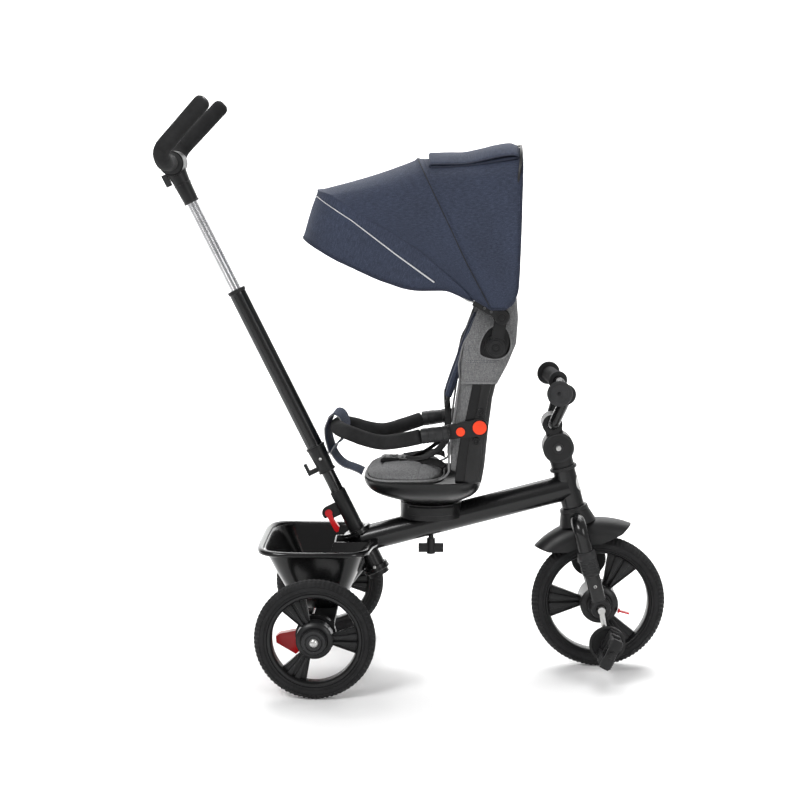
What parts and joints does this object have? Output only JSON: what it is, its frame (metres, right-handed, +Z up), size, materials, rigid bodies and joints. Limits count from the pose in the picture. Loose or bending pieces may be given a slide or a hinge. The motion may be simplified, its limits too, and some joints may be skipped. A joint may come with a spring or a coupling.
{
  "type": "children's tricycle",
  "caption": "Children's tricycle with a telescoping parent push bar, a swivelling harness seat, a padded safety bar, a folding canopy, a steered front wheel and a rear basket.",
  "frame": {"origin": "middle of the ground footprint, halfway between the rearmost point of the push handle and the front of the front tyre", "axes": "+X towards the front wheel, +Y towards the rider's left when facing forward, +Z up"},
  "size_m": [0.9525, 0.513, 1.0826],
  "materials": {
    "frame_paint": "satin black powder coat",
    "moulding": "fine grained black moulding",
    "basket_plastic": "glossy black moulding",
    "chrome": "polished chrome",
    "steel": "zinc plated steel",
    "tyre_rubber": "matt black tread",
    "foam": "soft charcoal foam",
    "navy_fabric": "navy melange weave",
    "grey_fabric": "grey melange weave",
    "red_plastic": "red moulding",
    "orange_plastic": "orange red moulding"
  },
  "bodies": {
    "frame": {"main_frame": "frame_paint", "bar_socket": "frame_paint", "socket_bushes": "moulding", "rear_frame": "frame_paint", "axle_bracket": "moulding", "rear_axle": "steel", "basket": "basket_plastic", "seat_saddle": "moulding", "headset_cups": "moulding"},
    "steering": {"fork": "frame_paint", "fender": "moulding", "fork_fittings": "moulding", "stem": "moulding", "handlebar": "frame_paint", "grips": "foam", "stem_screws": "steel"},
    "front_wheel": {"front_rim": "moulding", "front_tyre": "tyre_rubber"},
    "clutch": {"clutch_tab": "orange_plastic"},
    "crankset": {"crank": "chrome"},
    "left_pedal_body": {"left_pedal": "moulding"},
    "right_pedal_body": {"right_pedal": "moulding"},
    "left_wheel": {"left_rim": "moulding", "left_tyre": "tyre_rubber"},
    "right_wheel": {"right_rim": "moulding", "right_tyre": "tyre_rubber"},
    "left_brake": {"left_brake_lever": "red_plastic"},
    "right_brake": {"right_brake_lever": "red_plastic"},
    "tie_rod_body": {"tie_rod": "steel"},
    "push_lower": {"steer_spindle": "frame_paint", "lower_bar": "frame_paint", "bag_hook": "moulding", "outer_bar": "frame_paint"},
    "latch": {"latch_lever": "red_plastic"},
    "push_upper": {"upper_bar": "chrome", "handle_bracket": "moulding", "handle_yoke": "frame_paint", "handle_foam": "foam"},
    "trigger": {"handle_trigger": "moulding"},
    "seat": {"seat_shell": "moulding", "back_shell": "moulding", "seat_pad": "grey_fabric", "back_pad": "grey_fabric", "harness": "navy_fabric", "canopy_brackets": "moulding"},
    "knob": {"seat_knob": "moulding"},
    "swivel_release": {"swivel_lever": "moulding"},
    "safety_bar": {"bar_arms": "moulding", "bar_foam": "foam", "bar_strap": "navy_fabric"},
    "left_fold": {"left_fold_button": "orange_plastic"},
    "right_fold": {"right_fold_button": "orange_plastic"},
    "left_release": {"left_release_button": "orange_plastic"},
    "right_release": {"right_release_button": "orange_plastic"},
    "canopy": {"canopy_frame": "moulding", "rear_panel": "navy_fabric", "rear_roll": "navy_fabric"},
    "canopy_mid": {"mid_panel": "navy_fabric"},
    "canopy_front": {"front_bow": "steel", "visor": "navy_fabric"}
  },
  "joints": [
    {"name": "steer", "type": "hinge", "parent": "frame", "child": "steering", "pos_m": [0.35, 0, 0.1275], "axis": [-0.2588, 0, 0.9659], "range_deg": [-38, 38]},
    {"name": "front_wheel_spin", "type": "hinge", "parent": "steering", "child": "front_wheel", "pos_m": [0.35, 0, 0.1275], "axis": [0, 1, 0], "continuous": true},
    {"name": "crank_spin", "type": "hinge", "parent": "steering", "child": "crankset", "pos_m": [0.35, 0, 0.1275], "axis": [0, 1, 0], "continuous": true},
    {"name": "clutch_slide", "type": "slide", "parent": "front_wheel", "child": "clutch", "axis": [0, 1, 0], "range_m": [0, 0.006]},
    {"name": "left_pedal_spin", "type": "hinge", "parent": "crankset", "child": "left_pedal_body", "pos_m": [0.33915, 0.13, 0.18905], "axis": [0, 1, 0], "continuous": true},
    {"name": "right_pedal_spin", "type": "hinge", "parent": "crankset", "child": "right_pedal_body", "pos_m": [0.36085, -0.13, 0.06595], "axis": [0, 1, 0], "continuous": true},
    {"name": "left_wheel_spin", "type": "hinge", "parent": "frame", "child": "left_wheel", "pos_m": [-0.178, 0, 0.11], "axis": [0, 1, 0], "continuous": true},
    {"name": "right_wheel_spin", "type": "hinge", "parent": "frame", "child": "right_wheel", "pos_m": [-0.178, 0, 0.11], "axis": [0, 1, 0], "continuous": true},
    {"name": "left_brake_press", "type": "hinge", "parent": "frame", "child": "left_brake", "pos_m": [-0.178, 0, 0.11], "axis": [0, -1, 0], "range_deg": [0, 18]},
    {"name": "right_brake_press", "type": "hinge", "parent": "frame", "child": "right_brake", "pos_m": [-0.178, 0, 0.11], "axis": [0, -1, 0], "range_deg": [0, 18]},
    {"name": "tie_rod_slide", "type": "slide", "parent": "frame", "child": "tie_rod_body", "axis": [0.9668, 0, 0.2554], "range_m": [-0.0063, 0.0063]},
    {"name": "bar_turn", "type": "hinge", "parent": "frame", "child": "push_lower", "pos_m": [-0.0723, 0, 0.185], "axis": [-0.4431, 0, 0.8965], "range_deg": [-38.5, 38.5]},
    {"name": "bar_extend", "type": "slide", "parent": "push_lower", "child": "push_upper", "axis": [-0.4431, 0, 0.8965], "range_m": [-0.14, 0.04]},
    {"name": "latch_open", "type": "hinge", "parent": "push_lower", "child": "latch", "pos_m": [-0.16525, 0, 0.29634], "axis": [0, 1, 0], "range_deg": [0, 30], "stiffness_Nm_per_rad": 0.3, "springref_deg": -5.73},
    {"name": "trigger_press", "type": "slide", "parent": "push_upper", "child": "trigger", "axis": [0.8965, 0, 0.4431], "range_m": [0, 0.005], "stiffness_N_per_m": 400, "springref_m": -0.001},
    {"name": "seat_swivel", "type": "hinge", "parent": "frame", "child": "seat", "pos_m": [0.03, 0, 0.321], "axis": [0, 0, 1], "continuous": true},
    {"name": "knob_turn", "type": "hinge", "parent": "frame", "child": "knob", "pos_m": [0.03, 0, 0.23], "axis": [0, 0, 1], "continuous": true},
    {"name": "swivel_release_pull", "type": "slide", "parent": "frame", "child": "swivel_release", "axis": [0, -1, 0], "range_m": [0, 0.006], "stiffness_N_per_m": 400, "springref_m": -0.001},
    {"name": "safety_bar_fold", "type": "hinge", "parent": "seat", "child": "safety_bar", "pos_m": [0.119, 0, 0.478], "axis": [0, 1, 0], "range_deg": [0, 45]},
    {"name": "left_fold_press", "type": "slide", "parent": "safety_bar", "child": "left_fold", "axis": [0, -1, 0], "range_m": [0, 0.003], "stiffness_N_per_m": 400, "springref_m": -0.001},
    {"name": "right_fold_press", "type": "slide", "parent": "safety_bar", "child": "right_fold", "axis": [0, 1, 0], "range_m": [0, 0.003], "stiffness_N_per_m": 400, "springref_m": -0.001},
    {"name": "left_release_press", "type": "slide", "parent": "safety_bar", "child": "left_release", "axis": [0, -1, 0], "range_m": [0, 0.003], "stiffness_N_per_m": 400, "springref_m": -0.001},
    {"name": "right_release_press", "type": "slide", "parent": "safety_bar", "child": "right_release", "axis": [0, 1, 0], "range_m": [0, 0.003], "stiffness_N_per_m": 400, "springref_m": -0.001},
    {"name": "canopy_tilt", "type": "hinge", "parent": "seat", "child": "canopy", "pos_m": [0.147, 0, 0.627], "axis": [0, 1, 0], "range_deg": [-12, 12]},
    {"name": "canopy_front_fold", "type": "hinge", "parent": "canopy", "child": "canopy_front", "pos_m": [0.157, 0, 0.683], "axis": [0, 1, 0], "range_deg": [0, 52]},
    {"name": "canopy_mid_fold", "type": "hinge", "parent": "canopy", "child": "canopy_mid", "pos_m": [0.157, 0, 0.683], "axis": [0, 1, 0], "range_deg": [0, 26], "deforming": ["rear_roll"]}
  ],
  "couplings": [
    {"joint": "crank_spin", "follows": "front_wheel_spin", "ratio": 1},
    {"joint": "bar_turn", "follows": "steer", "ratio": 1},
    {"joint": "tie_rod_slide", "follows": "steer", "m_per_rad": 0.0093},
    {"joint": "canopy_mid_fold", "follows": "canopy_front_fold", "ratio": 0.5}
  ]
}
